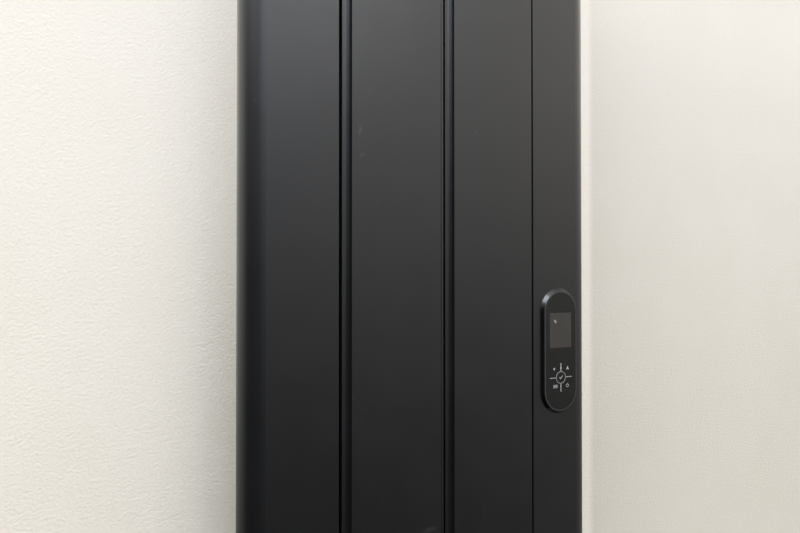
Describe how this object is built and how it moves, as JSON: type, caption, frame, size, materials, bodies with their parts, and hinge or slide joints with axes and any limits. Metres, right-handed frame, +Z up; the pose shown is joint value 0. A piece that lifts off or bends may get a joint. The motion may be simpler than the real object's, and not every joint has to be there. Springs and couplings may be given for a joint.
{
  "type": "vertical radiator",
  "caption": "Tall black electric wall radiator of flat grooved panels with a rounded edge, and a side housing with a glossy control pod, screen and keys.",
  "frame": {"origin": "centre of the four wall screws, on the wall plane", "axes": "+X to the right seen from the front, +Y into the wall, +Z up; the front faces -Y"},
  "size_m": [0.3535, 0.1035, 1.514],
  "materials": {
    "satin_black": "satin black powder coat on aluminium",
    "black_steel": "satin black powder coat on steel",
    "black_plastic": "satin black to match the coat",
    "gloss_black": "polished black",
    "screen_glass": "unlit screen behind clear glass",
    "pale_line": "pale grey",
    "aluminium": "bare",
    "zinc_steel": "zinc plated",
    "rod_steel": "heat stained",
    "rubber": "matte",
    "sleeve": "braided sleeve",
    "pale_plastic": "moulded",
    "board": "solder mask",
    "part_plastic": "moulded",
    "coil": "wound coil and core"
  },
  "bodies": {
    "radiator": {"left_panel": "satin_black", "middle_panel": "satin_black", "right_panel": "satin_black", "left_rod": "rod_steel", "middle_rod": "rod_steel", "right_rod": "rod_steel", "top_cap": "satin_black", "top_cap_screws": "zinc_steel", "bottom_cover": "satin_black", "bottom_cover_screws": "zinc_steel", "upper_rail": "zinc_steel", "lower_rail": "zinc_steel", "rail_nuts": "zinc_steel", "rail_screws": "zinc_steel", "upper_bracket": "black_steel", "lower_bracket": "black_steel", "bracket_pads": "rubber", "side_cover": "satin_black", "side_cover_screws": "zinc_steel", "side_chassis": "zinc_steel", "chassis_bolts": "zinc_steel", "side_top_cap": "black_plastic", "side_bottom_cap": "black_plastic", "cable_gland": "black_plastic", "gland_nut": "black_plastic", "switch_body": "gloss_black", "pod_housing": "gloss_black", "pod_retainer": "zinc_steel", "pod_screws": "zinc_steel", "pod_face": "gloss_black", "screen": "screen_glass", "key_guide": "pale_line", "key_mat": "sleeve", "pod_board": "board", "ribbon_cable": "sleeve", "power_board": "board", "board_standoffs": "zinc_steel", "terminal_block": "pale_plastic", "power_relay": "part_plastic", "transformer": "coil", "triac_heatsink": "aluminium", "heater_wires": "sleeve", "thermal_cutout": "aluminium", "room_probe": "zinc_steel", "probe_clip": "pale_plastic", "earth_stud": "zinc_steel"},
    "ok_key": {"ok_key": "gloss_black"},
    "up_key": {"up_key": "gloss_black"},
    "power_key": {"power_key": "gloss_black"},
    "menu_key": {"menu_key": "gloss_black"},
    "down_key": {"down_key": "gloss_black"},
    "rocker": {"rocker": "gloss_black"},
    "upper_latch": {"upper_latch": "zinc_steel"},
    "lower_latch": {"lower_latch": "zinc_steel"}
  },
  "joints": [
    {"name": "ok_press", "type": "slide", "parent": "radiator", "child": "ok_key", "axis": [0, 1, 0], "range_m": [0, 0.0004], "stiffness_N_per_m": 600},
    {"name": "up_press", "type": "slide", "parent": "radiator", "child": "up_key", "axis": [0, 1, 0], "range_m": [0, 0.0004], "stiffness_N_per_m": 600},
    {"name": "power_press", "type": "slide", "parent": "radiator", "child": "power_key", "axis": [0, 1, 0], "range_m": [0, 0.0004], "stiffness_N_per_m": 600},
    {"name": "menu_press", "type": "slide", "parent": "radiator", "child": "menu_key", "axis": [0, 1, 0], "range_m": [0, 0.0004], "stiffness_N_per_m": 600},
    {"name": "down_press", "type": "slide", "parent": "radiator", "child": "down_key", "axis": [0, 1, 0], "range_m": [0, 0.0004], "stiffness_N_per_m": 600},
    {"name": "rocker_tilt", "type": "hinge", "parent": "radiator", "child": "rocker", "pos_m": [0.14025, -0.036, -0.747], "axis": [0, 1, 0], "range_deg": [0, 20]},
    {"name": "upper_latch_turn", "type": "hinge", "parent": "radiator", "child": "upper_latch", "pos_m": [0, -0.0059, 0.556], "axis": [0, 0, 1], "range_deg": [0, 90]},
    {"name": "lower_latch_turn", "type": "hinge", "parent": "radiator", "child": "lower_latch", "pos_m": [0, -0.0059, -0.444], "axis": [0, 0, 1], "range_deg": [0, 90]}
  ]
}
